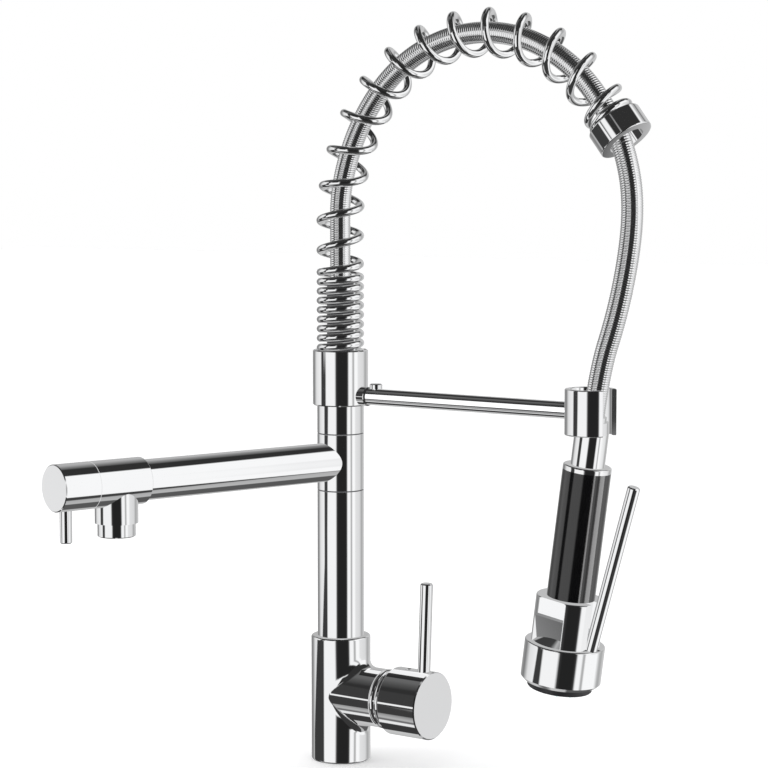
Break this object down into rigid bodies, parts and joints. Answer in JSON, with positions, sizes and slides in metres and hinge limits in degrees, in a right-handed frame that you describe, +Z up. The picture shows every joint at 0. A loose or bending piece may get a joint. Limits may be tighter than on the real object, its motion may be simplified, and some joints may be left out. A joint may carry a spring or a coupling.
{
  "type": "pull-out kitchen mixer tap",
  "caption": "Chrome kitchen mixer tap with a side lever, a swivelling pot spout, a hose in an arched coil spring and a clip that docks a hand spray with a trigger lever.",
  "frame": {"origin": "centre of the base underside, on the deck", "axes": "+Z up, +X along the mixer branch and the hose arm"},
  "size_m": [0.3207, 0.2574, 0.5263],
  "materials": {
    "chrome": "polished",
    "spring_chrome": "polished",
    "steel": "turned",
    "brass": "machined",
    "braid": "braided wire",
    "seal_rubber": "matt",
    "slip_plastic": "matt",
    "cartridge_plastic": "matt",
    "ceramic": "lapped",
    "grip_black": "gloss",
    "plate_black": "satin",
    "nozzle_teal": "matt"
  },
  "bodies": {
    "base": {"lower_body": "chrome", "base_seal": "seal_rubber", "column_tube": "chrome", "riser_tube": "brass", "upper_tube": "chrome", "cartridge_body": "cartridge_plastic", "ceramic_seat_disc": "ceramic", "cartridge_nut": "brass", "bezel_ring": "chrome", "lower_slip_ring": "slip_plastic", "upper_slip_ring": "slip_plastic"},
    "mixer_turret": {"cartridge_turret": "cartridge_plastic", "spindle_pivot_pin": "steel"},
    "mixer_handle": {"cartridge_spindle": "steel", "handle_hub": "chrome", "handle_lever": "chrome", "index_plug": "chrome", "grub_screw": "steel"},
    "ceramic_slide": {"ceramic_control_disc": "ceramic"},
    "spout": {"spout_collar": "chrome", "spout_pipe": "chrome", "outlet_housing": "chrome", "aerator_ring": "chrome", "aerator_insert": "cartridge_plastic", "aerator_seal": "seal_rubber", "headwork_body": "brass", "lower_oring": "seal_rubber", "upper_oring": "seal_rubber"},
    "spout_valve": {"spout_knob": "chrome", "spout_knob_pin": "chrome", "headwork_stem": "brass"},
    "upper": {"spring_ferrule": "chrome", "hose_tail": "brass", "spring_guide": "slip_plastic", "arm_collar": "chrome", "hose_arm": "chrome", "arm_screw": "chrome", "hose_clip": "chrome", "spring_end_nut": "chrome", "hose_spring": "spring_chrome", "hose_in_spring": "braid", "free_hose": "braid"},
    "hose_end": {"hose_crimp": "chrome", "hose_swivel": "brass"},
    "handset": {"spray_head": "chrome", "face_plate": "plate_black", "spray_nozzles": "nozzle_teal", "valve_body": "chrome", "grip": "grip_black", "grip_flange": "chrome", "waterway_tube": "brass", "handset_neck": "chrome", "trigger_pin": "steel", "plunger_spring": "steel"},
    "trigger": {"trigger_lever": "chrome"},
    "plunger": {"valve_plunger": "steel"}
  },
  "joints": [
    {"name": "mixer_temperature", "type": "hinge", "parent": "base", "child": "mixer_turret", "pos_m": [0.035, 0, 0.048], "axis": [1, 0, 0], "range_deg": [-45, 45]},
    {"name": "mixer_flow", "type": "hinge", "parent": "mixer_turret", "child": "mixer_handle", "pos_m": [0.027, 0, 0.048], "axis": [0, 1, 0], "range_deg": [0, 18]},
    {"name": "ceramic_shift", "type": "slide", "parent": "mixer_turret", "child": "ceramic_slide", "axis": [0, 0, 1], "range_m": [0, 0.0016]},
    {"name": "spout_swivel", "type": "hinge", "parent": "base", "child": "spout", "pos_m": [0, 0, 0.2135], "axis": [0, 0, 1], "range_deg": [-100, 30]},
    {"name": "spout_valve_turn", "type": "hinge", "parent": "spout", "child": "spout_valve", "pos_m": [0, 0, 0.2135], "axis": [-0.2588, -0.9659, 0], "range_deg": [0, 90]},
    {"name": "upper_swivel", "type": "hinge", "parent": "base", "child": "upper", "pos_m": [0, 0, 0.265], "axis": [0, 0, 1], "range_deg": [-45, 45]},
    {"name": "handset_pull", "type": "slide", "parent": "upper", "child": "hose_end", "axis": [-0.1357, 0, -0.9907], "range_m": [0, 0.13], "stiffness_N_per_m": 60, "springref_m": -0.2, "deforming": ["free_hose"]},
    {"name": "handset_spin", "type": "hinge", "parent": "hose_end", "child": "handset", "pos_m": [0.20364, 0, 0.2287], "axis": [0.1357, 0, 0.9907], "continuous": true},
    {"name": "trigger_squeeze", "type": "hinge", "parent": "handset", "child": "trigger", "pos_m": [0.20603, -0.00141, 0.09766], "axis": [-0.0691, -0.9976, 0.0095], "range_deg": [0, 7], "stiffness_Nm_per_rad": 0.6, "springref_deg": -11.46, "deforming": ["plunger_spring"]},
    {"name": "plunger_push", "type": "slide", "parent": "handset", "child": "plunger", "axis": [-0.9883, 0.0698, 0.1354], "range_m": [0, 0.0022]}
  ],
  "couplings": [
    {"joint": "ceramic_shift", "follows": "mixer_flow", "m_per_rad": 0.0046},
    {"joint": "plunger_push", "follows": "trigger_squeeze", "m_per_rad": 0.0165}
  ]
}
